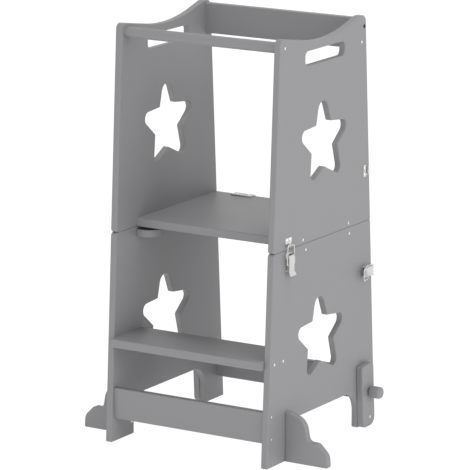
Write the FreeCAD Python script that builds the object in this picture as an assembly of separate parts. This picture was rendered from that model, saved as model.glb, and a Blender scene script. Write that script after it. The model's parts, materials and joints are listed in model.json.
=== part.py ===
"""Toddler kitchen helper stool: a painted tower whose upper half folds back into a bench and table.

Millimetres. X to the right, Y to the back, Z up; the origin is on the floor under the middle.
The front is the side with the step. Left is -X and right is +X.
"""
import FreeCAD, Part
import math
import os

# ---------------------------------------------------------------- driving dimensions
# carcass
height = 895.5  # crest of the side panels
outer_width = 400.0  # over the two side panels
base_depth = 448.0  # side panel at the floor
top_depth = 346.0  # side panel at its top
seam_height = 450.0  # where the lower half ends and the upper half begins
panel_thickness = 15.0
rail_thickness = 15.0
platform_thickness = 18.0
step_thickness = 18.5
edge_radius = 2.0  # all board edges
nosing_radius = 3.0  # front edge of step and platform

# lower side panel
toe_radius = 3.0
seam_front_radius = 8.0
seam_rear_radius = 3.0
front_leg_width = 87.0  # at the floor
rear_leg_width = 75.0
arch_height = 84.3
arch_radius = 47.0

# upper side panel: its scooped top edge, as heights under the crest
top_front_drop = 3.2
top_front_radius = 12.0
scoop_y = 20.7
scoop_drop = 35.1
scoop_radius = 400.0
crest_y = 148.0
crest_rise = 0.5
crest_radius = 40.0
top_rear_drop = 1.5
top_rear_radius = 15.0
slot_y = 6.3  # hand slot
slot_drop = 58.7  # its middle under the crest
slot_length = 160.0
slot_width = 30.0
slot_radius = 11.0

# star cut-outs: corners from the middle of the star, in a soft hand-cut shape
star_tip_radius = 20.0
star_arm_radius = 14.0
star_leg_radius = 12.5
star_notch_radius = 3.0
star_corners = [
    (-12.9, 132.0, star_tip_radius),
    (24.5, 41.5, star_notch_radius),
    (107.5, 32.1, star_arm_radius),
    (50.5, -13.5, star_notch_radius),
    (70.4, -82.9, star_leg_radius),
    (-2.5, -51.0, star_notch_radius),
    (-60.2, -82.1, star_leg_radius),
    (-54.0, -15.5, star_notch_radius),
    (-115.7, 34.5, star_arm_radius),
    (-36.0, 40.0, star_notch_radius),
]
lower_star = (-4.2, 236.1)  # Y and Z of its middle
upper_star_y = 7.3
upper_star_drop = 22.3  # its middle under the middle of the upper panel

# boards between the side panels
platform_front_setback = 75.4  # platform's front edge behind the panels' front edge
platform_rear_setback = 3.5  # and its rear edge in front of their rear edge
frame_gap = 6.5  # platform down to the U-shaped board
frame_arm = 48.0
frame_crosspiece = 95.0
frame_corner_radius = 40.0
step_top = 226.5
step_depth = 123.0
rail_height = 67.0
rail_foot = 50.5  # underside of both rails above the floor
front_rail_setback = 12.0  # behind the foot of the panels
rear_rail_setback = 13.5
back_board_setback = 12.1  # its rear face in front of the panels' rear edge
back_board_drop = 5.4  # its top under the crest
back_board_height = 65.5
grab_rail_diameter = 23.0
grab_rail_setback = 19.8  # its middle behind the panels' front edge
grab_rail_drop = 24.5

# side feet
foot_setback = 72.0  # behind the foot of the panels
foot_thickness = 15.0
foot_reach = 103.2
foot_height = 107.0
foot_corners = [  # X out from the panel and Z, as parts of reach and height
    (0.0, 0.0, 0.0),
    (1.0, 0.0, 4.0),
    (0.98, 0.25, 24.0),
    (0.76, 0.46, 14.0),
    (0.53, 0.46, 12.0),
    (0.45, 0.88, 34.0),
    (0.10, 1.0, 12.0),
    (0.0, 1.0, 0.0),
]

# fold hinges
hinge_x = 111.0
hinge_width = 50.0
hinge_plate = 2.0
hinge_top_plate = 2.5
hinge_top_reach = 19.0
hinge_barrel_radius = 3.5
hinge_pin_radius = 1.5
hinge_knuckles = 5
hinge_clear = 4.0  # leaf edge to fold axis, past the other leaf's knuckles
knuckle_gap = 0.2
pin_head_radius = 2.4
pin_head = 0.8

# toggle latches, along the pull u, out from the panel w and across v; u is 0 at the lever pin
latch_front_setback = 58.1  # lever pin behind the panel's front edge
latch_front_pin_drop = 12.0  # lever pin under the seam
latch_rear_height = 340.0
latch_rear_pin_inset = 7.7  # lever pin in front of the panel's rear edge
latch_pin_out = 6.6
latch_pin_radius = 1.5
base_length_back = 32.0
base_length_front = 6.5
base_width = 24.0
base_screws_back = (10.7, 26.0)
base_plate = 1.5
ear_plate = 1.2
ear_gap = 0.4
lever_width = 20.0
lever_plate = 1.0
lever_length = 33.0
lever_nose = 2.6
flare_length = 8.0
flare_width = 27.0
flare_rise = 4.0
bail_pivot_back = 18.0
bail_length = 40.0
bail_foot_half = 15.0
bail_bar_half = 12.0
bail_wire_radius = 1.25
bail_bend = 3.0
bail_tip_inside = 0.5
bail_stow = 162.0  # degrees from pulling to lying back over the lever
catch_plate = 1.2
catch_width = 26.0
catch_length = 18.6
catch_screw_inset = 5.0
hook_width = 18.0
hook_lip = 1.0
hook_reach = 4.6
hook_play = 0.15
lip_clearance = 0.4  # bail bar outside the hook's lip

# lock bars and knobs
bar_thickness = 15.0
bar_gap = 0.3  # bar off the panel
bar_length = 139.0
bar_behind = 20.0  # pivot to the bar's rear side, and down to its end
bar_ahead = 30.0
bar_corner_radius = 10.0
bar_pivot_inset = 44.8  # in front of the leg's rear edge
bar_floor_gap = 0.5
bar_crest_rise = 16.0  # pivot over the crest of the folded upper half
bar_swing = 84.7  # degrees
bolt_radius = 2.5
bolt_head_radius = 3.8
bolt_head = 2.5
bolt_depth = 12.0
bolt_socket_radius = 2.0
bolt_socket_depth = 1.5
knob_distance = 57.0  # from the pivot
knob_standoff = 5.0
knob_radius = 13.0
knob_length = 25.0
knob_dome = 5.0
stud_radius = 3.0
stud_floor = 0.5  # stud's tip off the panel
insert_radius = 5.0
insert_length = 12.0

# screws and dowels
screw_radius = 2.0
screw_head_radius = 3.25
screw_head = 2.5
screw_length = 45.0
screw_sink = 0.3
screw_socket = 1.5
screw_inset = 9.5  # rail screws from the rail's long edges
platform_screw_insets = (42.3, 88.6)  # from the front and the rear edge
frame_screw_insets = (54.6, 84.9)
step_screw_insets = (30.8, 65.1)  # both from the front edge
back_board_screw_rise = 13.8
back_board_dowel_rise = 32.0
dowel_radius = 4.0
dowel_length = 22.0
dowel_in_panel = 10.0
foot_screws_z = (28.0, 78.0)
small_screw_radius = 1.5
small_screw_head_radius = 2.7
small_screw_head = 1.3
small_screw_length = 12.0
hinge_screw_spread = 15.0
hinge_rear_screw_spread = 7.0
hinge_rear_screw_rise = 12.0  # above the seam

# fits
running_fit = 0.05
thread_fit = 0.05
loose_fit = 0.3
full_round = 0.99  # share of a half width that the arcs at a round end take
hole_spare = 1.0  # blind holes deeper than what they hold, and cutters past the face

# ---------------------------------------------------------------- derived places
V = FreeCAD.Vector
half_width = outer_width / 2
inner_half = half_width - panel_thickness
lean = (base_depth - top_depth) / 2 / height


def front_edge(z):
    return -base_depth / 2 + lean * z


def rear_edge(z):
    return base_depth / 2 - lean * z


front_leg_back = front_edge(0) + front_leg_width
rear_leg_front = rear_edge(0) - rear_leg_width
slot_height = height - slot_drop
upper_star = (upper_star_y, (seam_height + height) / 2 - upper_star_drop)
platform_front = front_edge(seam_height) + platform_front_setback
platform_rear = rear_edge(seam_height) - platform_rear_setback
platform_top = seam_height + platform_thickness
frame_top = seam_height - frame_gap
frame_foot = frame_top - rail_thickness
step_front = front_edge(0)
step_back = step_front + step_depth
fold_y = platform_rear + hinge_plate + hinge_barrel_radius
front_rail_y = front_edge(0) + front_rail_setback
rear_rail_y = rear_edge(0) - rear_rail_setback - rail_thickness
back_board_foot = height - back_board_drop - back_board_height
back_board_front = rear_edge(back_board_foot) - back_board_setback - rail_thickness
grab_rail_height = height - grab_rail_drop
grab_rail_y = front_edge(grab_rail_height) + grab_rail_setback
foot_front = front_edge(0) + foot_setback
platform_screws_y = (platform_front + platform_screw_insets[0], platform_rear - platform_screw_insets[1])
frame_screws_y = (platform_front + frame_screw_insets[0], platform_rear - frame_screw_insets[1])
step_screws_y = [step_front + inset for inset in step_screw_insets]

latch_front_pin_z = seam_height - latch_front_pin_drop
latch_front_y = front_edge(latch_front_pin_z) + latch_front_setback
latch_rear_pin_y = rear_edge(latch_rear_height) - latch_rear_pin_inset
catch_lip_out = catch_plate + 2 * bail_wire_radius + 2 * running_fit + hook_lip
bail_out = catch_lip_out + lip_clearance + bail_wire_radius
bail_bar = bail_length - bail_pivot_back  # bar ahead of the lever pin
hook_foot = bail_bar - bail_wire_radius - hook_play - catch_plate

folded_crest = 2 * seam_height - height
bar_pivot_z = max(bar_behind + bar_floor_gap, folded_crest + bar_crest_rise)
bar_pivot_y = rear_edge(bar_pivot_z) - bar_pivot_inset
bar_lean = math.atan(lean)
swing = math.radians(bar_swing)


def about_pivot(along, angle):
    """Y and Z of a point on the lock bar's middle line, with the bar swung back by the angle."""
    turn = angle - bar_lean
    return bar_pivot_y + along * math.sin(turn), bar_pivot_z + along * math.cos(turn)


def folded(y, z):
    """Where a point of the upper half lies once it is folded right back, and the other way round."""
    return 2 * fold_y - y, 2 * seam_height - z


knob_home = about_pivot(knob_distance, 0)
insert_upper = folded(*about_pivot(knob_distance, swing))


# ---------------------------------------------------------------- shape helpers
def on_side(x):
    """Turns (y, z) into a point on a plane across X."""
    return lambda y, z: V(x, y, z)


def on_front(y):
    """Turns (x, z) into a point on a plane across Y."""
    return lambda x, z: V(x, y, z)


def on_floor(z):
    """Turns (x, y) into a point on a level plane."""
    return lambda x, y: V(x, y, z)


def corner_points(before, here, after, radius):
    """Start, middle and end of the arc that rounds one corner."""
    back = (before - here).normalize()
    ahead = (after - here).normalize()
    half_angle = back.getAngle(ahead) / 2
    inward = (back + ahead).normalize()
    reach = radius / math.tan(half_angle)
    centre = here + inward * (radius / math.sin(half_angle))
    return here + back * reach, centre - inward * radius, here + ahead * reach


def outline(corners, place, closed=True):
    """Wire through corners (a, b, radius), with an arc at each corner that has a radius."""
    points = [place(a, b) for a, b, radius in corners]
    count = len(corners)
    arcs = []
    for i, (a, b, radius) in enumerate(corners):
        if radius == 0:
            arcs.append((points[i], None, points[i]))
        else:
            arcs.append(corner_points(points[i - 1], points[i], points[(i + 1) % count], radius))
    edges = []
    for i, (start, middle, end) in enumerate(arcs):
        if middle:
            edges.append(Part.Arc(start, middle, end).toShape())
        if i + 1 < count or closed:
            next_start = arcs[(i + 1) % count][0]
            if not end.isEqual(next_start, 1e-6):
                edges.append(Part.makeLine(end, next_start))
    return Part.Wire(edges)


def plate(corners, place, thickness):
    """Solid from an outline, thickened along a vector."""
    return Part.Face(outline(corners, place)).extrude(thickness)


def rectangle(low_a, high_a, low_b, high_b, radius=0.0):
    return [
        (low_a, low_b, radius),
        (high_a, low_b, radius),
        (high_a, high_b, radius),
        (low_a, high_b, radius),
    ]


def box(low, high):
    size = V(*high) - V(*low)
    return Part.makeBox(size.x, size.y, size.z, V(*low))


def round_edges(board, axis, radius):
    """Rounds the edges round a board's two broad faces, which lie across the axis."""
    low = getattr(board.BoundBox, axis + "Min")
    high = getattr(board.BoundBox, axis + "Max")

    def level(edge, value):
        return all(abs(getattr(v, axis) - value) < 1e-4 for v in edge.Vertexes)

    edges = [e for e in board.Edges if level(e, low) or level(e, high)]
    return board.makeFillet(radius, edges)


def turned(place, direction, steps):
    """Cylinders (radius, start, end) stacked on one axis."""
    parts = []
    for radius, start, end in steps:
        parts.append(Part.makeCylinder(radius, end - start, place + direction * start, direction))
    return parts[0].fuse(parts[1:]).removeSplitter() if len(parts) > 1 else parts[0]


def socket(place, direction, radius, depth):
    """Six-sided recess for a key."""
    across = V(0, 0, 1) if abs(direction.z) < 0.5 else V(0, 1, 0)
    other = direction.cross(across)
    points = []
    for i in range(7):
        angle = math.radians(60 * i)
        points.append(place + across * radius * math.cos(angle) + other * radius * math.sin(angle))
    return Part.Face(Part.makePolygon(points)).extrude(direction * depth)


def mirrored(shape):
    return shape.mirror(V(0, 0, 0), V(1, 0, 0))


def save(name, shape):
    """Writes one node; a list of shapes is a node of separate solids."""
    if isinstance(shape, list):
        shape = Part.makeCompound([solid for piece in shape for solid in piece.Solids])
    assert shape.isValid(), name
    shape.exportStep("parts/" + name + ".step")
    size = shape.optimalBoundingBox(False)
    print(name, len(shape.Solids), round(shape.Volume), [round(v, 1) for v in (
        size.XMin, size.YMin, size.ZMin, size.XMax, size.YMax, size.ZMax)])


def save_pair(name, right):
    """Writes a right-hand piece and its mirror image."""
    save(name + "_right", right)
    save(name + "_left", mirrored(right))


# ---------------------------------------------------------------- fasteners
def key_head_screw(place, inward):
    """Screw whose head's face is at the place."""
    body = turned(place, inward, [
        (screw_head_radius, 0, screw_head),
        (screw_radius, screw_head, screw_length),
    ])
    return body.cut(socket(place, inward, screw_radius, screw_socket))


def key_head_hole(place, inward):
    return turned(place, inward, [
        (screw_head_radius + thread_fit, -hole_spare, screw_head),
        (screw_radius + thread_fit, screw_head, screw_length + hole_spare),
    ])


def panel_screw(y, z):
    """Screw through the right side panel into the end of a board."""
    return key_head_screw(V(half_width - screw_sink, y, z), V(-1, 0, 0))


def panel_screw_hole(y, z):
    return key_head_hole(V(half_width - screw_sink, y, z), V(-1, 0, 0))


def small_screw(place, inward):
    """Round-head wood screw whose head lies on a fitting."""
    body = turned(place, inward, [
        (small_screw_head_radius, -small_screw_head, 0),
        (small_screw_radius, 0, small_screw_length),
    ])
    slot_start = place - inward * small_screw_head
    return body.cut(socket(slot_start, inward, small_screw_radius, small_screw_head / 2))


def small_screw_hole(place, inward):
    return turned(place, inward,
                  [(small_screw_radius + thread_fit, -hole_spare, small_screw_length + hole_spare)])


# ---------------------------------------------------------------- boards
def screw_places():
    """Y and Z of the key-head screws in the upper and in the lower side panel."""
    platform_middle = seam_height + platform_thickness / 2
    frame_middle = frame_foot + rail_thickness / 2
    step_middle = step_top - step_thickness / 2
    upper = [(y, platform_middle) for y in platform_screws_y]
    upper.append((grab_rail_y, grab_rail_height))
    upper.append((back_board_front + rail_thickness / 2, back_board_foot + back_board_screw_rise))
    lower = [(y, frame_middle) for y in frame_screws_y]
    lower += [(y, step_middle) for y in step_screws_y]
    for rail_y in (front_rail_y, rear_rail_y):
        for z in (rail_foot + screw_inset, rail_foot + rail_height - screw_inset):
            lower.append((rail_y + rail_thickness / 2, z))
    return upper, lower


def star_hole(centre):
    return through_panel([(centre[0] + y, centre[1] + z, radius) for y, z, radius in star_corners])


def through_panel(corners):
    """Cutter through the right-hand side panel."""
    return plate(corners, on_side(inner_half - hole_spare), V(panel_thickness + 2 * hole_spare, 0, 0))


def side_panel_blank(corners, holes):
    """Right-hand side panel with its cut-outs and rounded edges, before it is drilled."""
    panel = plate(corners, on_side(inner_half), V(panel_thickness, 0, 0))
    return round_edges(panel.cut(holes), "X", edge_radius)


def lower_panel_blank():
    corners = [
        (front_edge(0), 0, toe_radius),
        (front_leg_back, 0, toe_radius),
        (front_leg_back, arch_height, arch_radius),
        (rear_leg_front, arch_height, arch_radius),
        (rear_leg_front, 0, toe_radius),
        (rear_edge(0), 0, toe_radius),
        (rear_edge(seam_height), seam_height, seam_rear_radius),
        (front_edge(seam_height), seam_height, seam_front_radius),
    ]
    return side_panel_blank(corners, [star_hole(lower_star)])


def upper_panel_blank():
    front_top = height - top_front_drop
    rear_top = height - top_rear_drop
    corners = [
        (front_edge(seam_height), seam_height, seam_front_radius),
        (rear_edge(seam_height), seam_height, seam_rear_radius),
        (rear_edge(rear_top), rear_top, top_rear_radius),
        (crest_y, height + crest_rise, crest_radius),
        (scoop_y, height - scoop_drop, scoop_radius),
        (front_edge(front_top), front_top, top_front_radius),
    ]
    slot = through_panel(rectangle(
        slot_y - slot_length / 2, slot_y + slot_length / 2,
        slot_height - slot_width / 2, slot_height + slot_width / 2, slot_radius))
    return side_panel_blank(corners, [star_hole(upper_star), slot])


def cross_board(low_y, high_y, low_z, high_z, front_radius, rear_radius):
    """Board between the side panels, with its long edges rounded."""
    corners = [
        (low_y, low_z, front_radius),
        (high_y, low_z, rear_radius),
        (high_y, high_z, rear_radius),
        (low_y, high_z, front_radius),
    ]
    return plate(corners, on_side(-inner_half), V(2 * inner_half, 0, 0))


def platform_frame_blank():
    """U-shaped board under the platform, open to the front."""
    inner = inner_half - frame_arm
    back = platform_rear - frame_crosspiece
    corners = [
        (-inner_half, platform_front, edge_radius),
        (-inner, platform_front, frame_corner_radius),
        (-inner, back, frame_corner_radius),
        (inner, back, frame_corner_radius),
        (inner, platform_front, frame_corner_radius),
        (inner_half, platform_front, edge_radius),
        (inner_half, platform_rear, 0),
        (-inner_half, platform_rear, 0),
    ]
    return plate(corners, on_floor(frame_foot), V(0, 0, rail_thickness))


def grab_rail_blank():
    return turned(V(-inner_half, grab_rail_y, grab_rail_height), V(1, 0, 0),
                  [(grab_rail_diameter / 2, 0, 2 * inner_half)])


def side_foot_blank():
    corners = [(half_width + out * foot_reach, up * foot_height, r) for out, up, r in foot_corners]
    return plate(corners, on_front(foot_front), V(0, foot_thickness, 0))


# ---------------------------------------------------------------- side feet's screws
def foot_screw_line(z):
    """Head face and direction of a screw from inside the right panel into the foot."""
    return V(inner_half + screw_sink, foot_front + foot_thickness / 2, z), V(1, 0, 0)


def foot_screw(z):
    place, outward = foot_screw_line(z)
    return key_head_screw(place, outward)


def foot_screw_hole(z):
    place, outward = foot_screw_line(z)
    return key_head_hole(place, outward)


# ---------------------------------------------------------------- locating dowels
def dowel_place():
    return V(inner_half + dowel_in_panel, back_board_front + rail_thickness / 2,
             back_board_foot + back_board_dowel_rise)


def dowel():
    return turned(dowel_place(), V(-1, 0, 0), [(dowel_radius, 0, dowel_length)])


def dowel_hole():
    return turned(dowel_place(), V(-1, 0, 0), [(dowel_radius + thread_fit, 0, dowel_length + hole_spare)])


# ---------------------------------------------------------------- fold hinge
def knuckle_spans():
    """X ranges of the knuckles of the right hinge; the even ones belong to the lower leaf."""
    pitch = hinge_width / hinge_knuckles
    left = hinge_x - hinge_width / 2
    return [(left + i * pitch + knuckle_gap / 2, left + (i + 1) * pitch - knuckle_gap / 2)
            for i in range(hinge_knuckles)]


def knuckle(span, upward):
    """Barrel section with the strap that joins it to the leaf."""
    start, end = span
    barrel = Part.makeCylinder(hinge_barrel_radius, end - start, V(start, fold_y, seam_height), V(1, 0, 0))
    reach = hinge_barrel_radius if upward else -hinge_barrel_radius
    low, high = sorted((seam_height, seam_height + reach))
    strap = box((start, platform_rear, low), (end, fold_y, high))
    low, high = sorted((seam_height, seam_height + math.copysign(hinge_clear, reach)))
    neck = box((start, platform_rear, low), (end, platform_rear + hinge_plate, high))
    return barrel.fuse([strap, neck])


def hinge_leaf(upward):
    left = hinge_x - hinge_width / 2
    right = hinge_x + hinge_width / 2
    rear = platform_rear + hinge_plate
    if upward:
        top = platform_top + hinge_top_plate
        leaf = box((left, platform_rear, seam_height + hinge_clear), (right, rear, top))
        top_plate = box((left, platform_rear - hinge_top_reach, platform_top), (right, rear, top))
        leaf = leaf.fuse(top_plate)
    else:
        leaf = box((left, platform_rear, frame_foot), (right, rear, seam_height - hinge_clear))
    spans = knuckle_spans()[1::2] if upward else knuckle_spans()[::2]
    leaf = leaf.fuse([knuckle(span, upward) for span in spans]).removeSplitter()
    bore = turned(V(left, fold_y, seam_height), V(1, 0, 0),
                  [(hinge_pin_radius + running_fit, -hole_spare, hinge_width + hole_spare)])
    return leaf.cut(bore)


def hinge_pin():
    left = hinge_x - hinge_width / 2
    return turned(V(left, fold_y, seam_height), V(1, 0, 0), [
        (pin_head_radius, -pin_head, 0),
        (hinge_pin_radius, 0, hinge_width),
        (pin_head_radius, hinge_width, hinge_width + pin_head),
    ])


def hinge_screw_lines(upward):
    """Seat and direction of the screws of one leaf."""
    rear = platform_rear + hinge_plate
    top_y = platform_rear - hinge_top_reach / 2
    lines = []
    for side in (-1, 1):
        wide = hinge_x + side * hinge_screw_spread
        narrow = hinge_x + side * hinge_rear_screw_spread
        if upward:
            lines.append((V(wide, top_y, platform_top + hinge_top_plate), V(0, 0, -1)))
            lines.append((V(narrow, rear, seam_height + hinge_rear_screw_rise), V(0, -1, 0)))
        else:
            lines.append((V(wide, rear, frame_foot + rail_thickness / 2), V(0, -1, 0)))
    return lines


# ---------------------------------------------------------------- toggle latch, in its own frame
# here X is the pull u, Y the width v and Z the distance w out from the panel
def across(corners, half):
    """Solid from an outline in u and w, as wide as twice the half width."""
    return plate(corners, lambda u, w: V(u, -half, w), V(0, 2 * half, 0))


def flat(corners, low, high):
    """Solid from an outline in u and v, between two distances from the panel."""
    return plate(corners, on_floor(low), V(0, 0, high - low))


def pin_bore(u, w, radius, half):
    return Part.makeCylinder(radius, 2 * half, V(u, -half, w), V(0, 1, 0))


def ear_outer():
    return lever_width / 2 + ear_gap + ear_plate


def latch_base():
    half = base_width / 2
    base = flat(rectangle(-base_length_back, base_length_front, -half, half, edge_radius), 0, base_plate)
    top_radius = 2 * latch_pin_radius
    foot = 2 * top_radius
    top = latch_pin_out + top_radius
    block = across([
        (-foot, 0, 0),
        (foot, 0, 0),
        (top_radius, top, top_radius * full_round),
        (-top_radius, top, top_radius * full_round),
    ], ear_outer())
    between = rectangle(-foot - hole_spare, foot + hole_spare, -hole_spare, top + hole_spare)
    block = block.cut(across(between, ear_outer() - ear_plate))
    base = base.fuse(block).removeSplitter()
    base = base.cut(pin_bore(0, latch_pin_out, latch_pin_radius + running_fit, half + hole_spare))
    return base.cut([small_screw_hole(seat, V(0, 0, -1)) for seat in latch_screw_seats()])


def latch_pin():
    return pin_bore(0, latch_pin_out, latch_pin_radius, ear_outer() + running_fit)


def latch_lever():
    half = lever_width / 2
    top = latch_pin_out + lever_nose
    foot = latch_pin_out - lever_nose
    body = across([
        (-lever_length, foot, edge_radius),
        (lever_nose, foot, lever_nose * full_round),
        (lever_nose, top, lever_nose * full_round),
        (-lever_length, top, 0),
    ], half)
    inside = rectangle(
        -lever_length - hole_spare, lever_nose + hole_spare, foot - hole_spare, top - lever_plate)
    hollow = across(inside, half - lever_plate)
    tail = across([
        (-lever_length + lever_plate, top - lever_plate, 0),
        (-lever_length + lever_plate, top, 0),
        (-lever_length, top, 0),
        (-lever_length - flare_length, top + flare_rise, 0),
        (-lever_length - flare_length, top + flare_rise - lever_plate, 0),
        (-lever_length, top - lever_plate, 0),
    ], flare_width / 2)
    spread = flat([
        (-lever_length + lever_plate, -half, 0),
        (-lever_length + lever_plate, half, 0),
        (-lever_length, half, 0),
        (-lever_length - flare_length, flare_width / 2, edge_radius),
        (-lever_length - flare_length, -flare_width / 2, edge_radius),
        (-lever_length, -half, 0),
    ], 0, top + 2 * flare_rise)
    lever = body.cut(hollow).fuse(tail.common(spread)).removeSplitter()
    return lever.cut([
        pin_bore(0, latch_pin_out, latch_pin_radius + running_fit, half + hole_spare),
        pin_bore(-bail_pivot_back, bail_out, bail_wire_radius + running_fit, half + hole_spare),
    ])


def latch_bail():
    """Wire loop from its two ends in the lever's sides to the bar ahead of the pin."""
    start = lever_width / 2 - lever_plate - bail_tip_inside
    pivot = -bail_pivot_back
    corners = [
        (pivot, start, 0),
        (pivot, bail_foot_half, bail_bend),
        (bail_bar, bail_bar_half, bail_bend),
        (bail_bar, -bail_bar_half, bail_bend),
        (pivot, -bail_foot_half, bail_bend),
        (pivot, -start, 0),
    ]
    path = outline(corners, on_floor(bail_out), closed=False)
    section = Part.Wire(Part.makeCircle(bail_wire_radius, V(pivot, start, bail_out), V(0, 1, 0)))
    return path.makePipeShell([section], True, False)


def stowed(bail):
    """Bail laid back over the lever."""
    turned_bail = bail.copy()
    turned_bail.rotate(V(-bail_pivot_back, 0, bail_out), V(0, 1, 0), -bail_stow)
    return turned_bail


def latch_catch():
    """Plate with a hook at its near end that opens away from the lever."""
    foot = hook_foot
    neck = foot + hook_reach
    half = catch_width / 2
    corners = [
        (foot, -hook_width / 2, 0),
        (foot, hook_width / 2, 0),
        (neck, hook_width / 2, 0),
        (neck + half - hook_width / 2, half, edge_radius / 2),
        (foot + catch_length, half, edge_radius),
        (foot + catch_length, -half, edge_radius),
        (neck + half - hook_width / 2, -half, edge_radius / 2),
        (neck, -hook_width / 2, 0),
    ]
    catch = flat(corners, 0, catch_plate)
    web = across(rectangle(foot, foot + catch_plate, 0, catch_lip_out), hook_width / 2)
    lip = across(rectangle(foot, foot + hook_reach, catch_lip_out - hook_lip, catch_lip_out), hook_width / 2)
    catch = catch.fuse([web, lip]).removeSplitter()
    return catch.cut([small_screw_hole(place, V(0, 0, -1)) for place in catch_screw_seats()])


def catch_screw_seats():
    u = hook_foot + catch_length - catch_screw_inset
    return [V(u, v, catch_plate) for v in (-catch_width / 4, catch_width / 4)]


def latch_screw_seats():
    return [V(-back, 0, base_plate) for back in base_screws_back]


def put_at(shape, place, turn):
    placed = shape.copy()
    placed.Placement = FreeCAD.Placement(place, turn).multiply(placed.Placement)
    return placed


def set_front(shape):
    """Puts a latch piece on the right panel's front, with its pull upwards."""
    turn = FreeCAD.Rotation(V(0, 0, 1), V(0, -1, 0), V(1, 0, 0), "ZXY")
    return put_at(shape, V(half_width, latch_front_y, latch_front_pin_z), turn)


def set_rear(shape):
    """Puts a latch piece on the right panel's rear edge, with its pull backwards."""
    turn = FreeCAD.Rotation(V(0, 1, 0), V(0, 0, 1), V(1, 0, 0), "ZXY")
    return put_at(shape, V(half_width, latch_rear_pin_y, latch_rear_height), turn)


def fold_back(shape):
    """Turns a piece of the upper half from the folded place to the standing one."""
    placed = shape.copy()
    placed.rotate(V(0, fold_y, seam_height), V(1, 0, 0), 180)
    return placed


def set_rear_catch(shape):
    return fold_back(set_rear(shape))


def small_screws_at(seats, put):
    return [put(small_screw(seat, V(0, 0, -1))) for seat in seats]


def small_holes_at(seats, put):
    return [put(small_screw_hole(seat, V(0, 0, -1))) for seat in seats]


# ---------------------------------------------------------------- lock bar
def bar_blank():
    """Right lock bar standing along the panel's rear edge, its foot level and round about the pivot."""
    foot = -bar_behind / math.cos(bar_lean)
    top = bar_length - bar_behind
    corners = [
        (-bar_ahead, foot + bar_ahead * lean, bar_corner_radius),
        (bar_behind, foot - bar_behind * lean, bar_behind * full_round),
        (bar_behind, top, bar_corner_radius),
        (-bar_ahead, top, bar_corner_radius),
    ]
    bar = plate(corners, on_side(half_width + bar_gap), V(bar_thickness, 0, 0))
    bar = round_edges(bar, "X", edge_radius)
    inner = V(half_width + bar_gap, 0, 0)
    outward = V(1, 0, 0)
    bolt_hole = turned(inner, outward, [
        (bolt_radius + running_fit, -hole_spare, bar_thickness - bolt_head),
        (bolt_head_radius + loose_fit, bar_thickness - bolt_head, bar_thickness + hole_spare),
    ])
    knob_hole = turned(inner + V(0, 0, knob_distance), outward,
                       [(stud_radius + running_fit, -hole_spare, bar_thickness + hole_spare)])
    bar = bar.cut([bolt_hole, knob_hole])
    bar.rotate(V(0, 0, 0), V(1, 0, 0), math.degrees(bar_lean))
    bar.translate(V(0, bar_pivot_y, bar_pivot_z))
    return bar


def bar_bolt():
    face = V(half_width + bar_gap + bar_thickness, bar_pivot_y, bar_pivot_z)
    inward = V(-1, 0, 0)
    end = bar_thickness + bar_gap + bolt_depth
    bolt = turned(face, inward, [(bolt_head_radius, 0, bolt_head), (bolt_radius, bolt_head, end)])
    return bolt.cut(socket(face, inward, bolt_socket_radius, bolt_socket_depth))


def bar_bolt_hole():
    return turned(V(half_width, bar_pivot_y, bar_pivot_z), V(-1, 0, 0),
                  [(bolt_radius + thread_fit, -hole_spare, bolt_depth + hole_spare)])


def lock_knob():
    """Turned wooden knob with its steel stud, drawn back so that the bar is free."""
    outward = V(1, 0, 0)
    foot = V(half_width, *knob_home)
    start = bar_gap + bar_thickness + knob_standoff
    body = turned(foot, outward, [(knob_radius, start, start + knob_length)])
    for level, radius in ((start + knob_length, knob_dome), (start, edge_radius)):
        rim = [e for e in body.Edges if all(abs(v.X - half_width - level) < 1e-4 for v in e.Vertexes)]
        body = body.makeFillet(radius, rim)
    stud = turned(foot, outward, [(stud_radius, stud_floor, start + knob_length / 2)])
    return body.fuse(stud).removeSplitter()


def insert(place):
    """Threaded sleeve, flush with the outer face of the right panel."""
    face = V(half_width, *place)
    sleeve = turned(face, V(-1, 0, 0), [(insert_radius, 0, insert_length)])
    return sleeve.cut(turned(face, V(-1, 0, 0),
                             [(stud_radius + loose_fit, -hole_spare, insert_length + hole_spare)]))


def insert_hole(place):
    return turned(V(half_width, *place), V(-1, 0, 0),
                  [(insert_radius + thread_fit, -hole_spare, insert_length + hole_spare)])


# ---------------------------------------------------------------- assembly
def both(pieces):
    """Right-hand pieces and their mirror images, as one list."""
    return pieces + [mirrored(piece) for piece in pieces]


def drill_both(board, holes):
    return board.cut(both(holes))


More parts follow.
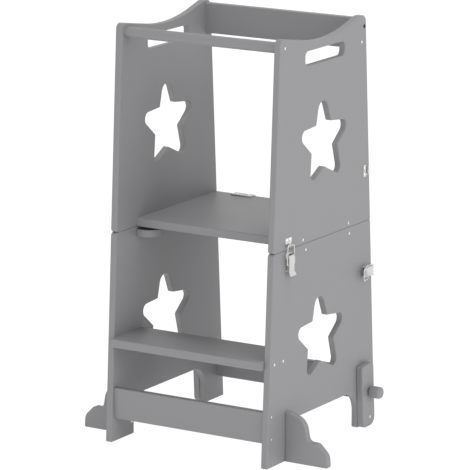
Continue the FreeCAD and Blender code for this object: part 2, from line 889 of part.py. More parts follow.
def make_upper_half(upper_places):
    screw_holes = [panel_screw_hole(y, z) for y, z in upper_places]
    catch_holes = small_holes_at(catch_screw_seats(), set_front)
    catch_holes += small_holes_at(catch_screw_seats(), set_rear_catch)
    panel = upper_panel_blank().cut(screw_holes + catch_holes + [insert_hole(insert_upper), dowel_hole()])
    save_pair("upper_side_panel", panel)

    hinge_holes = [small_screw_hole(seat, way) for seat, way in hinge_screw_lines(True)]
    platform = cross_board(platform_front, platform_rear, seam_height, platform_top, nosing_radius, 0)
    save("standing_platform", drill_both(platform, screw_holes + hinge_holes))
    back_board = cross_board(back_board_front, back_board_front + rail_thickness, back_board_foot,
                             back_board_foot + back_board_height, edge_radius, edge_radius)
    save("back_board", drill_both(back_board, screw_holes + [dowel_hole()]))
    save("grab_rail", drill_both(grab_rail_blank(), screw_holes))
    save("upper_panel_screws", both([panel_screw(y, z) for y, z in upper_places]))
    save("back_board_dowels", both([dowel()]))
    save("upper_lock_inserts", both([insert(insert_upper)]))
    save_pair("front_catch", set_front(latch_catch()))
    save_pair("rear_catch", set_rear_catch(latch_catch()))
    catch_screws = small_screws_at(catch_screw_seats(), set_front)
    catch_screws += small_screws_at(catch_screw_seats(), set_rear_catch)
    save("catch_screws", both(catch_screws))
    save_pair("hinge_upper_leaf", hinge_leaf(True).cut(hinge_holes))
    save("hinge_upper_screws", both([small_screw(seat, way) for seat, way in hinge_screw_lines(True)]))


def make_lower_half(lower_places):
    screw_holes = [panel_screw_hole(y, z) for y, z in lower_places]
    foot_holes = [foot_screw_hole(z) for z in foot_screws_z]
    latch_holes = small_holes_at(latch_screw_seats(), set_front)
    latch_holes += small_holes_at(latch_screw_seats(), set_rear)
    panel = lower_panel_blank().cut(
        screw_holes + foot_holes + latch_holes + [insert_hole(knob_home), bar_bolt_hole()])
    save_pair("lower_side_panel", panel)

    hinge_holes = [small_screw_hole(seat, way) for seat, way in hinge_screw_lines(False)]
    save("platform_frame", drill_both(platform_frame_blank(), screw_holes + hinge_holes))
    step = cross_board(
        step_front, step_back, step_top - step_thickness, step_top, nosing_radius, edge_radius)
    save("step_board", drill_both(step, screw_holes))
    for name, y in (("front_rail", front_rail_y), ("rear_rail", rear_rail_y)):
        rail = cross_board(
            y, y + rail_thickness, rail_foot, rail_foot + rail_height, edge_radius, edge_radius)
        save(name, drill_both(rail, screw_holes))
    foot = round_edges(side_foot_blank(), "Y", edge_radius).cut(foot_holes)
    save_pair("side_foot", foot)
    save("lower_panel_screws", both([panel_screw(y, z) for y, z in lower_places]))
    save("side_foot_screws", both([foot_screw(z) for z in foot_screws_z]))
    save("lower_lock_inserts", both([insert(knob_home)]))
    save_pair("hinge_lower_leaf", hinge_leaf(False).cut(hinge_holes))
    save("hinge_lower_screws", both([small_screw(seat, way) for seat, way in hinge_screw_lines(False)]))
    save_pair("hinge_pin", hinge_pin())
    save("latch_screws", both(small_screws_at(latch_screw_seats(), set_front)
                              + small_screws_at(latch_screw_seats(), set_rear)))
    save_pair("lock_bar_bolt", bar_bolt())


def make_latches():
    for name, put in (("front_latch", set_front), ("rear_latch", set_rear)):
        save_pair(name + "_base", put(latch_base()))
        save_pair(name + "_pin", put(latch_pin()))
        save_pair(name + "_lever", put(latch_lever()))
    save_pair("front_latch_bail", set_front(latch_bail()))
    save_pair("rear_latch_bail", set_rear(stowed(latch_bail())))


def make_lock():
    save_pair("lock_bar", bar_blank())
    save_pair("lock_knob", lock_knob())


os.makedirs("parts", exist_ok=True)
upper_places, lower_places = screw_places()
make_upper_half(upper_places)
make_lower_half(lower_places)
make_latches()
make_lock()
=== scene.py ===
"""Finishes, fasteners and fittings of a toddler kitchen helper stool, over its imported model.

Metres, in the model's own frame: X to the right, Y to the back, Z up, the front towards -Y.
"""

import json
import math

import bmesh
import bpy
from mathutils import Matrix, Vector

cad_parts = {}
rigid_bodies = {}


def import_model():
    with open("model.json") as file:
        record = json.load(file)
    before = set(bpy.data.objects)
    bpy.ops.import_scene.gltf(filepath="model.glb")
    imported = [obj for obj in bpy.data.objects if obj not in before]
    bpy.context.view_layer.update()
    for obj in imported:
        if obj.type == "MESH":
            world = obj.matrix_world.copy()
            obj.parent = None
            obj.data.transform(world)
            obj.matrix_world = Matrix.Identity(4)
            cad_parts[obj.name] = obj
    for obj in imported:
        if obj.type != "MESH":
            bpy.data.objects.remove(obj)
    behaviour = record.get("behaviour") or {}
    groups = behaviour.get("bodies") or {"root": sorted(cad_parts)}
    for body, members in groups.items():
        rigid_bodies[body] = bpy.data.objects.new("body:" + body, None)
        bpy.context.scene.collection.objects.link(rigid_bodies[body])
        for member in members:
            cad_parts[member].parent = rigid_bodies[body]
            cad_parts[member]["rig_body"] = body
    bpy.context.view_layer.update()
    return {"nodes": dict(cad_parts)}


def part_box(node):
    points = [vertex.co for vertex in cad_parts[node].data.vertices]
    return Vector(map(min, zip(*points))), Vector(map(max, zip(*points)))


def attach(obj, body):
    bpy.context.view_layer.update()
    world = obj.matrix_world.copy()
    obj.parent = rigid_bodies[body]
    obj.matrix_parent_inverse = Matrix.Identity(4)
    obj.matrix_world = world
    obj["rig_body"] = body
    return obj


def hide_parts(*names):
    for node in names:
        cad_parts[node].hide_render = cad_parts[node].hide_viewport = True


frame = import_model()

# ---------------------------------------------------------------- measures
mm = 0.001

# camera
camera_azimuth = math.radians(31.842)  # to the right of the front
camera_elevation = math.radians(12.922)
camera_distance = 7.718
camera_target = Vector((-0.0009, -0.0248, 0.4344))
camera_lens = 280.19  # millimetres
camera_sensor = 36.0  # millimetres

# stage and light
floor_size = 60.0
floor_drop = 0.2 * mm
floor_tone = (0.96, 0.96, 0.96, 1.0)
floor_glow = 1.08
floor_bounce = 0.38  # light the floor sends up under the boards
shadow_share = 0.09  # how much of its own light the floor shows
sky_strength = 0.42
sky_slant = 1.0  # how much brighter the sky is on its bright side
sky_bright_side = Vector((0.15, -0.38, 0.91))
soft_lights = [  # name, place, width in metres, watts
    ("side_light", Vector((4.4, -0.8, 1.9)), 2.4, 46.0),
    ("front_light", Vector((0.4, -5.0, 1.1)), 3.0, 12.0),
    ("top_light", Vector((0.8, 0.15, 4.2)), 1.0, 26.0),
]
light_target = Vector((0.0, 0.0, 0.45))

# finishes
paint_tone = (0.268, 0.263, 0.271, 1.0)
paint_roughness = 0.45
paint_sheen = 0.28  # share of the light that the paint mirrors
paint_relief = 0.03 * mm
beech_tone = (0.62, 0.45, 0.28, 1.0)
beech_relief = 0.04 * mm
steel_finishes = [  # name, tone, roughness, relief
    ("bright_steel", (0.66, 0.66, 0.645, 1.0), 0.26, 0.004 * mm),
    # the hinge steel is the same plated steel darkened: painted shade that stands in for the dark
    # surroundings the hinge mirrors
    ("hinge_steel_painted_shade", (0.46, 0.46, 0.455, 1.0), 0.34, 0.004 * mm),
    # the screws' near-white tone, brighter than real steel, is a painted highlight that stands in for the
    # glint on their heads
    ("screw_steel_painted_highlight", (0.95, 0.95, 0.95, 1.0), 0.22, 0.004 * mm),
    # the inserts' near-black tone is painted shade that stands in for the shade inside their threaded holes
    ("insert_steel", (0.16, 0.16, 0.165, 1.0), 0.42, 0.006 * mm),
]

# textures, their noise in waves per metre
grain_wave_scale = 9.0
grain_wave_depth = 0.01  # metres
grain_height = 0.5  # grain's share of the paint's relief, over the orange peel's
mottle_scale = 13.0
mottle_rough = 0.12  # how far the mottle changes the roughness
peel_rough = 0.10
dust_scale = 3600.0
dust_show = 0.03
cloud_scale = 260.0
cloud_rough = 0.16
line_rough = 0.10
line_stretch = 0.03  # width of a drawing line over its length

# meshes
weld = 0.002 * mm
turn_sides = 24
edge_angle = math.radians(35)  # an edge bent further than this stays sharp
thread_angle = math.radians(60)

# screws
end_depth = 0.1 * mm  # points this close to an end belong to it
largest_turn = math.radians(60)
key_head_radius = 3.25 * mm
key_head_depth = 2.5 * mm
key_recess_radius = 2.0 * mm
key_recess_depth = 1.5 * mm
key_recess_cone = 0.3 * mm
key_rim = 0.15 * mm
key_shank_radius = 2.0 * mm
key_length = 45.0 * mm
key_tip = 4.0 * mm
round_head_radius = 2.7 * mm
round_head_height = 1.3 * mm
round_dome_shares = (0.62, 0.80, 0.93, 1.0)  # radii of the dome's rings, over the head's
round_crown = 0.9  # how far the dome's curve runs towards a half circle
round_fall = 0.7  # about what that curve falls, so that it ends at the head's height
round_recess_radius = 1.5 * mm
round_recess_waist = 0.45 * mm
round_recess_depth = 0.75 * mm
round_recess_cone = 0.15 * mm
round_recess_rim = 0.12 * mm
cross_arm_half_angle = 0.3  # radians
round_shank_radius = 1.5 * mm
round_length = 13.3 * mm
round_tip = 3.0 * mm
thread_depth = 0.35 * mm
thread_pitch = 1.8 * mm

# lock knobs
knob_dome = 6.5 * mm
knob_foot_round = 1.6 * mm
knob_neck_radius = 9.0 * mm
knob_neck_step = 0.5 * mm
knob_foot_gap = 0.1 * mm  # keeps the pressed knob clear of its bar
dome_steps = 6
foot_steps = 3
stud_radius = 3.0 * mm
stud_hold = 3.0 * mm  # how far the stud reaches into the knob
stud_chamfer = 1.0 * mm
stud_thread_depth = 0.45 * mm
stud_thread_pitch = 1.0 * mm

# pressed steel fittings
flat_angle = math.radians(1)  # faces bent less than this become one
fold_angle = math.radians(30)  # an edge bent further than this is rounded
sheet_edge_round = 0.22 * mm
bolt_edge_round = 0.4 * mm


# ---------------------------------------------------------------- node helpers
def add_node(tree, kind, inputs=None, **settings):
    """Adds a node, sets its properties, and fills or links its inputs by name or number."""
    made = tree.nodes.new(kind)
    for name, value in settings.items():
        setattr(made, name, value)
    for name, value in (inputs or {}).items():
        if isinstance(value, bpy.types.NodeSocket):
            tree.links.new(value, made.inputs[name])
        else:
            made.inputs[name].default_value = value
    return made


def arithmetic(tree, operation, first, second=0.0, third=0.0):
    made = add_node(tree, "ShaderNodeMath", {0: first, 1: second, 2: third}, operation=operation)
    return made.outputs[0]


def sockets(tree, way, named):
    """Declares a group's sockets, given as (name, kind, value)."""
    for name, kind, value in named:
        made = tree.interface.new_socket(name, in_out=way, socket_type="NodeSocket" + kind)
        if value is not None:
            made.default_value = value


def shader_group(name, inputs, outputs):
    tree = bpy.data.node_groups.new(name, "ShaderNodeTree")
    sockets(tree, "INPUT", inputs)
    sockets(tree, "OUTPUT", outputs)
    return tree, tree.nodes.new("NodeGroupInput").outputs, tree.nodes.new("NodeGroupOutput").inputs


# ---------------------------------------------------------------- shared effects
def make_noise_value(tree, position, scale, detail, roughness=0.5):
    """Noise about zero, from -0.5 to 0.5."""
    noise = add_node(tree, "ShaderNodeTexNoise", {
        "Vector": position, "Scale": scale, "Detail": detail, "Roughness": roughness})
    return arithmetic(tree, "SUBTRACT", noise.outputs["Fac"], 0.5)


def make_grain_group():
    """Long streaks along X: outputs a value about zero."""
    tree, given, result = shader_group("wood_grain", [
        ("Position", "Vector", None),
        ("Streak Length", "Float", 0.09),
        ("Streak Width", "Float", 0.0016),
        ("Waviness", "Float", 0.35),
    ], [("Grain", "Float", None)])
    wave = add_node(tree, "ShaderNodeTexNoise", {
        "Vector": given["Position"], "Scale": grain_wave_scale, "Detail": 2.0})
    bend = arithmetic(tree, "MULTIPLY", wave.outputs["Fac"], arithmetic(
        tree, "MULTIPLY", given["Waviness"], grain_wave_depth))
    split = add_node(tree, "ShaderNodeSeparateXYZ", {0: given["Position"]})
    along = arithmetic(tree, "DIVIDE", split.outputs["X"], given["Streak Length"])
    bent = [arithmetic(tree, "ADD", split.outputs[axis], bend) for axis in ("Y", "Z")]
    across = [arithmetic(tree, "DIVIDE", value, given["Streak Width"]) for value in bent]
    place = add_node(tree, "ShaderNodeCombineXYZ", {"X": along, "Y": across[0], "Z": across[1]})
    tree.links.new(make_noise_value(tree, place.outputs[0], 1.0, 3.0, 0.55), result["Grain"])
    return tree


def make_paint_group(grain_group):
    """Satin spray paint on board: a soft mottle, orange peel and a hint of the grain under it."""
    tree, given, result = shader_group("satin_paint", [
        ("Position", "Vector", None),
        ("Tone", "Color", None),
        ("Roughness", "Float", 0.5),
        ("Mottle", "Float", 0.05),
        ("Grain Show", "Float", 0.03),
        ("Peel Size", "Float", 0.0011),
    ], [("Color", "Color", None), ("Roughness", "Float", None), ("Height", "Float", None)])
    grain = add_node(tree, "ShaderNodeGroup", {}, node_tree=grain_group)
    tree.links.new(given["Position"], grain.inputs["Position"])
    grain_value = grain.outputs["Grain"]
    mottle = make_noise_value(tree, given["Position"], mottle_scale, 3.0)
    peel_scale = arithmetic(tree, "DIVIDE", 1.0, given["Peel Size"])
    peel = make_noise_value(tree, given["Position"], peel_scale, 1.5)
    dust = make_noise_value(tree, given["Position"], dust_scale, 1.0)
    tone_change = arithmetic(tree, "MULTIPLY_ADD", mottle, given["Mottle"],
                             arithmetic(tree, "MULTIPLY", grain_value, given["Grain Show"]))
    tone_change = arithmetic(tree, "MULTIPLY_ADD", dust, dust_show, tone_change)
    factor = arithmetic(tree, "ADD", tone_change, 1.0)
    tinted = add_node(tree, "ShaderNodeVectorMath", {0: given["Tone"]}, operation="SCALE")
    tree.links.new(factor, tinted.inputs["Scale"])
    rough = arithmetic(tree, "MULTIPLY_ADD", mottle, mottle_rough, given["Roughness"])
    rough = arithmetic(tree, "MULTIPLY_ADD", peel, peel_rough, rough)
    height = arithmetic(tree, "MULTIPLY_ADD", grain_value, grain_height, peel)
    tree.links.new(tinted.outputs[0], result["Color"])
    tree.links.new(rough, result["Roughness"])
    tree.links.new(height, result["Height"])
    return tree


def make_metal_group():
    """Plated steel: fine drawing lines along Z and soft clouding."""
    tree, given, result = shader_group("plated_steel", [
        ("Position", "Vector", None),
        ("Tone", "Color", None),
        ("Roughness", "Float", 0.25),
        ("Clouding", "Float", 0.10),
        ("Line Width", "Float", 0.00025),
    ], [("Color", "Color", None), ("Roughness", "Float", None), ("Height", "Float", None)])
    split = add_node(tree, "ShaderNodeSeparateXYZ", {0: given["Position"]})
    fine = arithmetic(tree, "DIVIDE", 1.0, given["Line Width"])
    drawn = arithmetic(tree, "MULTIPLY", fine, line_stretch)
    place = add_node(tree, "ShaderNodeCombineXYZ", {
        "X": arithmetic(tree, "MULTIPLY", split.outputs["X"], fine),
        "Y": arithmetic(tree, "MULTIPLY", split.outputs["Y"], fine),
        "Z": arithmetic(tree, "MULTIPLY", split.outputs["Z"], drawn),
    })
    lines = make_noise_value(tree, place.outputs[0], 1.0, 2.0, 0.6)
    cloud = make_noise_value(tree, given["Position"], cloud_scale, 3.0)
    factor = arithmetic(tree, "MULTIPLY_ADD", cloud, given["Clouding"], 1.0)
    tinted = add_node(tree, "ShaderNodeVectorMath", {0: given["Tone"]}, operation="SCALE")
    tree.links.new(factor, tinted.inputs["Scale"])
    rough = arithmetic(tree, "MULTIPLY_ADD", cloud, cloud_rough, given["Roughness"])
    rough = arithmetic(tree, "MULTIPLY_ADD", lines, line_rough, rough)
    tree.links.new(tinted.outputs[0], result["Color"])
    tree.links.new(rough, result["Roughness"])
    tree.links.new(lines, result["Height"])
    return tree


# ---------------------------------------------------------------- materials
def make_material(name, group, settings, bump_depth, turn=(0.0, 0.0, 0.0), **surface):
    """Principled surface whose colour, roughness and relief come from one shared group."""
    material = bpy.data.materials.new(name)
    material.use_nodes = True
    tree = material.node_tree
    shader = tree.nodes["Principled BSDF"]
    place = add_node(tree, "ShaderNodeTexCoord")
    turned = add_node(tree, "ShaderNodeMapping", {"Vector": place.outputs["Object"], "Rotation": turn})
    skin = add_node(tree, "ShaderNodeGroup", node_tree=group)
    tree.links.new(turned.outputs[0], skin.inputs["Position"])
    for key, value in settings.items():
        skin.inputs[key].default_value = value
    relief = add_node(tree, "ShaderNodeBump", {"Height": skin.outputs["Height"], "Distance": bump_depth})
    tree.links.new(skin.outputs["Color"], shader.inputs["Base Color"])
    tree.links.new(skin.outputs["Roughness"], shader.inputs["Roughness"])
    tree.links.new(relief.outputs[0], shader.inputs["Normal"])
    for key, value in surface.items():
        shader.inputs[key.replace("_", " ")].default_value = value
    return material


def make_materials():
    paint = make_paint_group(make_grain_group())
    metal = make_metal_group()
    upright = (0.0, math.radians(90), 0.0)  # grain along Z
    paint_surface = {"Tone": paint_tone, "Roughness": paint_roughness}
    made = {}
    for name, turn, grain_show in (
            ("upright_board_paint", upright, 0.035),
            ("cross_board_paint", (0.0, 0.0, 0.0), 0.035),
            ("turned_wood_paint", (0.0, 0.0, 0.0), 0.02)):
        made[name] = make_material(name, paint, dict(paint_surface, **{"Grain Show": grain_show}),
                                   paint_relief, turn, Specular_IOR_Level=paint_sheen)
    for name, tone, roughness, relief in steel_finishes:
        made[name] = make_material(name, metal, {"Tone": tone, "Roughness": roughness}, relief, Metallic=1.0)
    made["bare_beech"] = make_material(
        "bare_beech", paint, {"Tone": beech_tone, "Roughness": 0.6, "Grain Show": 0.30, "Mottle": 0.10},
        beech_relief)
    return made


# ---------------------------------------------------------------- mesh helpers
def finished_object(name, mesh, material, smooth_angle=edge_angle):
    """Object at the origin from a finished mesh, smooth but for its sharp edges."""
    for face in mesh.polygons:
        face.use_smooth = True
    mesh.set_sharp_from_angle(angle=smooth_angle)
    mesh.materials.clear()
    mesh.materials.append(material)
    made = bpy.data.objects.new(name, mesh)
    bpy.context.scene.collection.objects.link(made)
    return made


def mesh_from(name, work):
    """Turns edited geometry into a mesh whose faces point outwards."""
    bmesh.ops.recalc_face_normals(work, faces=work.faces)
    mesh = bpy.data.meshes.new(name)
    work.to_mesh(mesh)
    work.free()
    return mesh


def welded(node):
    """Editable copy of a node's mesh, with its loose triangles joined."""
    work = bmesh.new()
    work.from_mesh(frame["nodes"][node].data)
    bmesh.ops.remove_doubles(work, verts=work.verts, dist=weld)
    return work


def solids_of(node):
    """Points of each separate solid in a node, solid by solid."""
    work = welded(node)
    seen = set()
    groups = []
    for start in work.verts:
        if start in seen:
            continue
        seen.add(start)
        waiting = [start]
        group = []
        while waiting:
            point = waiting.pop()
            group.append(point.co.copy())
            for edge in point.link_edges:
                other = edge.other_vert(point)
                if other not in seen:
                    seen.add(other)
                    waiting.append(other)
        groups.append(group)
    work.free()
    return groups


def turned_rings(rings, name):
    """Closed mesh round Z from rings of (radii, height); a ring of one radius 0 is a pole."""
    work = bmesh.new()
    previous = None
    for radii, height in rings:
        if radii == 0:
            here = [work.verts.new((0, 0, height))]
        else:
            here = []
            for i in range(turn_sides):
                angle = 2 * math.pi * i / turn_sides
                radius, level = (f(angle) if callable(f) else f for f in (radii, height))
                here.append(work.verts.new((radius * math.cos(angle), radius * math.sin(angle), level)))
        if previous:
            for i in range(turn_sides):
                k = (i + 1) % turn_sides
                a, b = (previous[i % len(previous)], previous[k % len(previous)])
                c, d = (here[k % len(here)], here[i % len(here)])
                corners = [a]
                for corner in (b, c, d):
                    if corner not in corners:
                        corners.append(corner)
                work.faces.new(corners)
        previous = here
    return mesh_from(name, work)


def six_sided(radius):
    """Radius of a hexagon at an angle."""
    sector = math.radians(60)
    return lambda angle: radius * math.cos(sector / 2) / math.cos(angle % sector - sector / 2)


def cross_shaped(radius, waist):
    """Radius of a four-armed recess at an angle."""
    sector = math.radians(90)

    def reach(angle):
        off_arm = abs((angle + sector / 2) % sector - sector / 2)
        return radius if off_arm < cross_arm_half_angle else waist

    return reach


def thread_rings(radius, depth, pitch, start, end):
    """Rings of a screw thread from one height down to another."""
    count = max(2, round(abs(end - start) / (pitch / 4)))
    rings = []
    for i in range(1, count + 1):
        height = start + (end - start) * i / count

        def ridge(angle, height=height):
            phase = (height / pitch + angle / (2 * math.pi)) % 1.0
            return radius - depth * (1 - abs(2 * phase - 1))

        rings.append((ridge, height))
    return rings


# ---------------------------------------------------------------- screws
def key_head_screw_mesh():
    """Flat-headed screw with a six-sided recess, its face at height 0 and its tip down."""
    rings = [
        (0, -key_recess_depth - key_recess_cone),
        (six_sided(key_recess_radius), -key_recess_depth),
        (six_sided(key_recess_radius), -key_rim),
        (six_sided(key_recess_radius + key_rim), 0.0),
        (key_head_radius - 2 * key_rim, 0.0),
        (key_head_radius - 0.5 * key_rim, -0.5 * key_rim),
        (key_head_radius, -2 * key_rim),
        (key_head_radius, -key_head_depth),
        (key_shank_radius, -key_head_depth),
    ]
    rings += thread_rings(
        key_shank_radius, thread_depth, thread_pitch, -key_head_depth, -key_length + key_tip)
    rings.append((0, -key_length))
    return turned_rings(rings, "key_head_screw")


def round_head_screw_mesh():
    """Round-headed screw with a cross recess, the top of its head at height 0."""
    recess = cross_shaped(round_recess_radius, round_recess_waist)
    dome = []
    for share in round_dome_shares:
        drop = (1 - math.sqrt(1 - round_crown * share ** 2)) / round_fall
        dome.append((round_head_radius * share, -round_head_height * drop))
    rings = [
        (0, -round_recess_depth - round_recess_cone),
        (recess, -round_recess_depth),
        (recess, -round_recess_rim),
    ] + dome + [
        (round_head_radius, -round_head_height),
        (round_shank_radius, -round_head_height),
    ]
    rings += thread_rings(
        round_shank_radius, thread_depth, thread_pitch, -round_head_height, -round_length + round_tip)
    rings.append((0, -round_length))
    return turned_rings(rings, "round_head_screw")


def make_screw_tree():
    """Stands one screw on each point, along the point's own aim, each key turned at random."""
    tree = bpy.data.node_groups.new("screws_in_seats", "GeometryNodeTree")
    sockets(tree, "INPUT", [
        ("Geometry", "Geometry", None),
        ("Screw", "Object", None),
        ("Finish", "Material", None),
        ("Largest Turn", "Float", 0.0),
        ("Seed", "Int", 0),
    ])
    sockets(tree, "OUTPUT", [("Geometry", "Geometry", None)])
    given = tree.nodes.new("NodeGroupInput").outputs
    aim = add_node(tree, "GeometryNodeInputNamedAttribute", {"Name": "aim"}, data_type="FLOAT_VECTOR")
    upright = add_node(tree, "FunctionNodeAlignRotationToVector", {
        "Vector": aim.outputs["Attribute"]}, axis="Z")
    turn = add_node(tree, "FunctionNodeRandomValue", {
        2: 0.0, 3: given["Largest Turn"], "Seed": given["Seed"]}, data_type="FLOAT")
    spin = add_node(tree, "FunctionNodeAxisAngleToRotation", {"Axis": (0, 0, 1), "Angle": turn.outputs[1]})
    whole = add_node(tree, "FunctionNodeRotateRotation", {
        "Rotation": upright.outputs[0], "Rotate By": spin.outputs[0]}, rotation_space="LOCAL")
    screw = add_node(tree, "GeometryNodeObjectInfo", {"Object": given["Screw"]})
    stood = add_node(tree, "GeometryNodeInstanceOnPoints", {
        "Points": given["Geometry"], "Instance": screw.outputs["Geometry"], "Rotation": whole.outputs[0]})
    real = add_node(tree, "GeometryNodeRealizeInstances", {"Geometry": stood.outputs[0]})
    finished = add_node(tree, "GeometryNodeSetMaterial", {
        "Geometry": real.outputs[0], "Material": given["Finish"]})
    tree.links.new(finished.outputs[0], tree.nodes.new("NodeGroupOutput").inputs[0])
    return tree


def screw_seats(node):
    """Top of the head and outward direction of each screw in a node."""
    seats = []
    for points in solids_of(node):
        low = Vector(min(p[i] for p in points) for i in range(3))
        high = Vector(max(p[i] for p in points) for i in range(3))
        size = high - low
        axis = max(range(3), key=lambda i: size[i])
        middle = (low + high) / 2

        def spread(level):
            near = [p for p in points if abs(p[axis] - level) < end_depth]
            return max((p - middle).length_squared for p in near)

        up = spread(high[axis]) > spread(low[axis])
        place = middle.copy()
        place[axis] = high[axis] if up else low[axis]
        aim = Vector((0, 0, 0))
        aim[axis] = 1 if up else -1
        seats.append((place, aim))
    return seats


def make_screws(name, nodes, body, screw, tree, material, seed):
    """One mesh with every screw that one body carries of a kind, in place of its nodes."""
    seats = [seat for node in nodes for seat in screw_seats(node)]
    mesh = bpy.data.meshes.new(name)
    mesh.from_pydata([place for place, aim in seats], [], [])
    aims = mesh.attributes.new("aim", "FLOAT_VECTOR", "POINT")
    aims.data.foreach_set("vector", [value for place, aim in seats for value in aim])
    carrier = bpy.data.objects.new(name + "_seats", mesh)
    bpy.context.scene.collection.objects.link(carrier)
    modifier = carrier.modifiers.new("screws", "NODES")
    modifier.node_group = tree
    values = {"Screw": screw, "Finish": material, "Largest Turn": largest_turn, "Seed": seed}
    for socket in tree.interface.items_tree:
        if socket.in_out == "INPUT" and socket.name in values:
            modifier[socket.identifier] = values[socket.name]
    bpy.context.view_layer.update()
    shaped = carrier.evaluated_get(bpy.context.evaluated_depsgraph_get())
    made = bpy.data.objects.new(name, bpy.data.meshes.new_from_object(shaped))
    bpy.context.scene.collection.objects.link(made)
    bpy.data.objects.remove(carrier)
    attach(made, body)
    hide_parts(*nodes)


def make_all_screws(material):
    tree = make_screw_tree()
    kinds = {}
    for kind, mesh in (("key_head", key_head_screw_mesh()), ("round_head", round_head_screw_mesh())):
        kinds[kind] = finished_object(kind + "_template", mesh, material)
    groups = [
        ("upper_key_screws", ["upper_panel_screws"], "upper_half", "key_head"),
        ("lower_key_screws", ["lower_panel_screws", "side_foot_screws"], "lower_half", "key_head"),
        ("upper_round_screws", ["catch_screws", "hinge_upper_screws"], "upper_half", "round_head"),
        ("lower_round_screws", ["latch_screws", "hinge_lower_screws"], "lower_half", "round_head"),
    ]
    for seed, (name, nodes, body, kind) in enumerate(groups):
        make_screws(name, nodes, body, kinds[kind], tree, material, seed)
    for template in kinds.values():
        bpy.data.objects.remove(template)


# ---------------------------------------------------------------- steel fittings
def make_rounded_fitting(node, material, radius):
    """A node's shape with its sharp edges rounded, in place of the node."""
    work = welded(node)
    bmesh.ops.dissolve_limit(work, angle_limit=flat_angle, verts=work.verts, edges=work.edges)
    sharp = [e for e in work.edges if len(e.link_faces) == 2 and e.calc_face_angle() > fold_angle]
    bmesh.ops.bevel(work, geom=sharp, offset=radius, segments=2, profile=0.5, affect="EDGES",
                    clamp_overlap=True)
    bmesh.ops.triangulate(work, faces=[f for f in work.faces if len(f.verts) > 4])
    made = finished_object("rounded_" + node, mesh_from(node + "_mesh", work), material)
    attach(made, frame["nodes"][node]["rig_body"])
    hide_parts(node)


def make_fittings(material, hinge_painted_shade_material):
    for side in ("right", "left"):
        for place in ("front", "rear"):
            for part in ("latch_base", "latch_lever", "catch"):
                make_rounded_fitting("%s_%s_%s" % (place, part, side), material, sheet_edge_round)
        for part in ("hinge_upper_leaf", "hinge_lower_leaf"):
            make_rounded_fitting("%s_%s" % (part, side), hinge_painted_shade_material, sheet_edge_round)
        make_rounded_fitting("lock_bar_bolt_" + side, material, bolt_edge_round)


# ---------------------------------------------------------------- lock knobs
def make_knob(side, sign, paint, steel):
    """Turned wooden knob on its threaded steel stud, in place of the plain one."""
    node = "lock_knob_" + side
    low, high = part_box(node)
    middle = (low + high) / 2
    radius = (high.z - low.z) / 2
    tip = low.x if sign > 0 else high.x
    face = high.x if sign > 0 else low.x
    points = solids_of(node)[0]
    wide = [abs(p.x - tip) for p in points if math.hypot(p.y - middle.y, p.z - middle.z) > radius / 2]
    foot = min(wide) + knob_foot_gap
    length = abs(face - tip)
    rings = [(0, length), (radius - knob_dome, length)]
    for i in range(1, dome_steps + 1):
        angle = math.radians(90) * i / dome_steps
        rings.append((radius - knob_dome * (1 - math.sin(angle)), length - knob_dome * (1 - math.cos(angle))))
    for i in range(foot_steps + 1):
        angle = math.radians(90) * i / foot_steps
        rings.append((radius - knob_foot_round * (1 - math.cos(angle)),
                      foot + knob_foot_round * (1 - math.sin(angle))))
    rings.append((knob_neck_radius, foot))
    rings.append((knob_neck_radius - knob_neck_step, foot + knob_neck_step))
    rings.append((0, foot + knob_neck_step))
    stand = Matrix.Translation((tip, middle.y, middle.z)) @ Vector((sign, 0, 0)).to_track_quat(
        "Z", "Y").to_matrix().to_4x4()
    grip = turned_rings(rings, "turned_knob_" + side)
    grip.transform(stand)
    knob = finished_object("turned_knob_" + side, grip, paint)
    held = foot + stud_hold
    stud_rings = [(0, held), (stud_radius, held)]
    stud_rings += thread_rings(stud_radius, stud_thread_depth, stud_thread_pitch, held, stud_chamfer)
    stud_rings += [(stud_radius - stud_chamfer, 0.0), (0, 0.0)]
    rod = turned_rings(stud_rings, "threaded_stud_" + side)
    rod.transform(stand)
    stud = finished_object("threaded_stud_" + side, rod, steel, thread_angle)
    for piece, slot in ((knob, "grey_painted_wood"), (stud, "bright_steel")):
        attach(piece, node)
        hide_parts(node)


# ---------------------------------------------------------------- boards
def paint_boards(materials):
    """Gives every node its finish; the ones not named here are bright steel."""
    sides = ("right", "left")
    upright = ["side_foot_" + side for side in sides] + ["lock_bar_" + side for side in sides]
    upright += ["%s_side_panel_%s" % (half, side) for half in ("upper", "lower") for side in sides]
    groups = {
        "upright_board_paint": upright,
        "cross_board_paint": [
            "standing_platform", "platform_frame", "step_board", "front_rail", "rear_rail", "back_board"],
        "turned_wood_paint": ["grab_rail"],
        "bare_beech": ["back_board_dowels"],
        # lock inserts take the near-black steel whose tone is painted shade
        "insert_steel": ["upper_lock_inserts", "lower_lock_inserts"],
        # hinge pins take the darkened steel whose tone is painted shade
        "hinge_steel_painted_shade": ["hinge_pin_" + side for side in sides],
    }
    finishes = {node: finish for finish, nodes in groups.items() for node in nodes}
    for name, made in frame["nodes"].items():
        finish = materials[finishes.get(name, "bright_steel")]
        if not made.data.materials:
            made.data.materials.append(finish)
        for slot in made.material_slots:
            slot.material = finish


# ---------------------------------------------------------------- stage, light and camera
def seen_ray(tree):
    """1 where the eye, a reflection or glass looks at it, and 0 where it lights the object."""
    path = add_node(tree, "ShaderNodeLightPath").outputs
    seen = arithmetic(tree, "MAXIMUM", path["Is Camera Ray"], path["Is Glossy Ray"])
    return arithmetic(tree, "MAXIMUM", seen, path["Is Transmission Ray"])


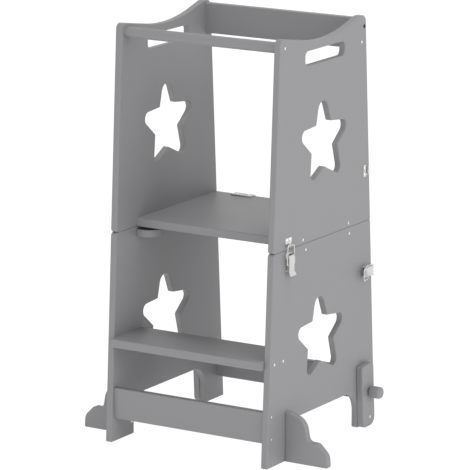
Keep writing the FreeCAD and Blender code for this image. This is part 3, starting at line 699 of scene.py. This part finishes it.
def make_floor():
    work = bmesh.new()
    bmesh.ops.create_grid(work, x_segments=1, y_segments=1, size=floor_size / 2)
    mesh = bpy.data.meshes.new("floor")
    work.to_mesh(mesh)
    work.free()
    mesh.transform(Matrix.Translation((0, 0, -floor_drop)))
    material = bpy.data.materials.new("white_floor")
    material.use_nodes = True
    tree = material.node_tree
    tree.nodes.clear()
    matte = add_node(tree, "ShaderNodeBsdfDiffuse", {"Color": floor_tone})
    glow = add_node(tree, "ShaderNodeEmission", {"Strength": floor_glow})
    seen = seen_ray(tree)
    unseen = arithmetic(tree, "MULTIPLY_ADD", seen, -floor_bounce, floor_bounce)
    bounce = add_node(tree, "ShaderNodeEmission", {"Strength": unseen})
    lit = add_node(tree, "ShaderNodeAddShader", {0: matte.outputs[0], 1: bounce.outputs[0]})
    share = arithmetic(tree, "MULTIPLY", seen, 1.0 - shadow_share)
    mixed = add_node(tree, "ShaderNodeMixShader", {0: share, 1: lit.outputs[0], 2: glow.outputs[0]})
    add_node(tree, "ShaderNodeOutputMaterial", {"Surface": mixed.outputs[0]})
    mesh.materials.append(material)
    floor = bpy.data.objects.new("floor", mesh)
    bpy.context.scene.collection.objects.link(floor)


def make_sky():
    world = bpy.data.worlds.new("white_room")
    world.use_nodes = True
    tree = world.node_tree
    tree.nodes.clear()
    way = add_node(tree, "ShaderNodeTexCoord").outputs["Generated"]
    slant = add_node(tree, "ShaderNodeVectorMath", {0: way, 1: sky_bright_side.normalized()},
                     operation="DOT_PRODUCT").outputs["Value"]
    given = arithmetic(tree, "MULTIPLY_ADD", slant, sky_strength * sky_slant, sky_strength)
    white = seen_ray(tree)
    strength = arithmetic(tree, "MULTIPLY_ADD", white, arithmetic(tree, "SUBTRACT", 1.0, given), given)
    sky = add_node(tree, "ShaderNodeBackground", {"Color": (1, 1, 1, 1), "Strength": strength})
    add_node(tree, "ShaderNodeOutputWorld", {"Surface": sky.outputs[0]})
    bpy.context.scene.world = world


def make_soft_light(name, place, size, power):
    light = bpy.data.lights.new(name, "AREA")
    light.shape = "DISK"
    light.size = size
    light.energy = power
    made = bpy.data.objects.new(name, light)
    made.location = place
    made.rotation_euler = (light_target - place).to_track_quat("-Z", "Y").to_euler()
    bpy.context.scene.collection.objects.link(made)


def make_camera():
    back = Vector((
        math.sin(camera_azimuth) * math.cos(camera_elevation),
        -math.cos(camera_azimuth) * math.cos(camera_elevation),
        math.sin(camera_elevation)))
    data = bpy.data.cameras.new("camera")
    data.sensor_width = camera_sensor
    data.lens = camera_lens
    camera = bpy.data.objects.new("camera", data)
    camera.location = camera_target + back * camera_distance
    camera.rotation_euler = (-back).to_track_quat("-Z", "Y").to_euler()
    bpy.context.scene.collection.objects.link(camera)
    bpy.context.scene.camera = camera


def make_stage():
    make_floor()
    make_sky()
    for name, place, size, power in soft_lights:
        make_soft_light(name, place, size, power)
    make_camera()
    bpy.context.scene.view_settings.view_transform = "Standard"


# ---------------------------------------------------------------- the whole scene
make_stage()
materials = make_materials()
paint_boards(materials)
# the screws take the steel whose near-white tone is a painted highlight
make_all_screws(materials["screw_steel_painted_highlight"])
make_fittings(materials["bright_steel"], materials["hinge_steel_painted_shade"])
for knob_side, knob_sign in (("right", 1), ("left", -1)):
    make_knob(knob_side, knob_sign, materials["turned_wood_paint"], materials["bright_steel"])
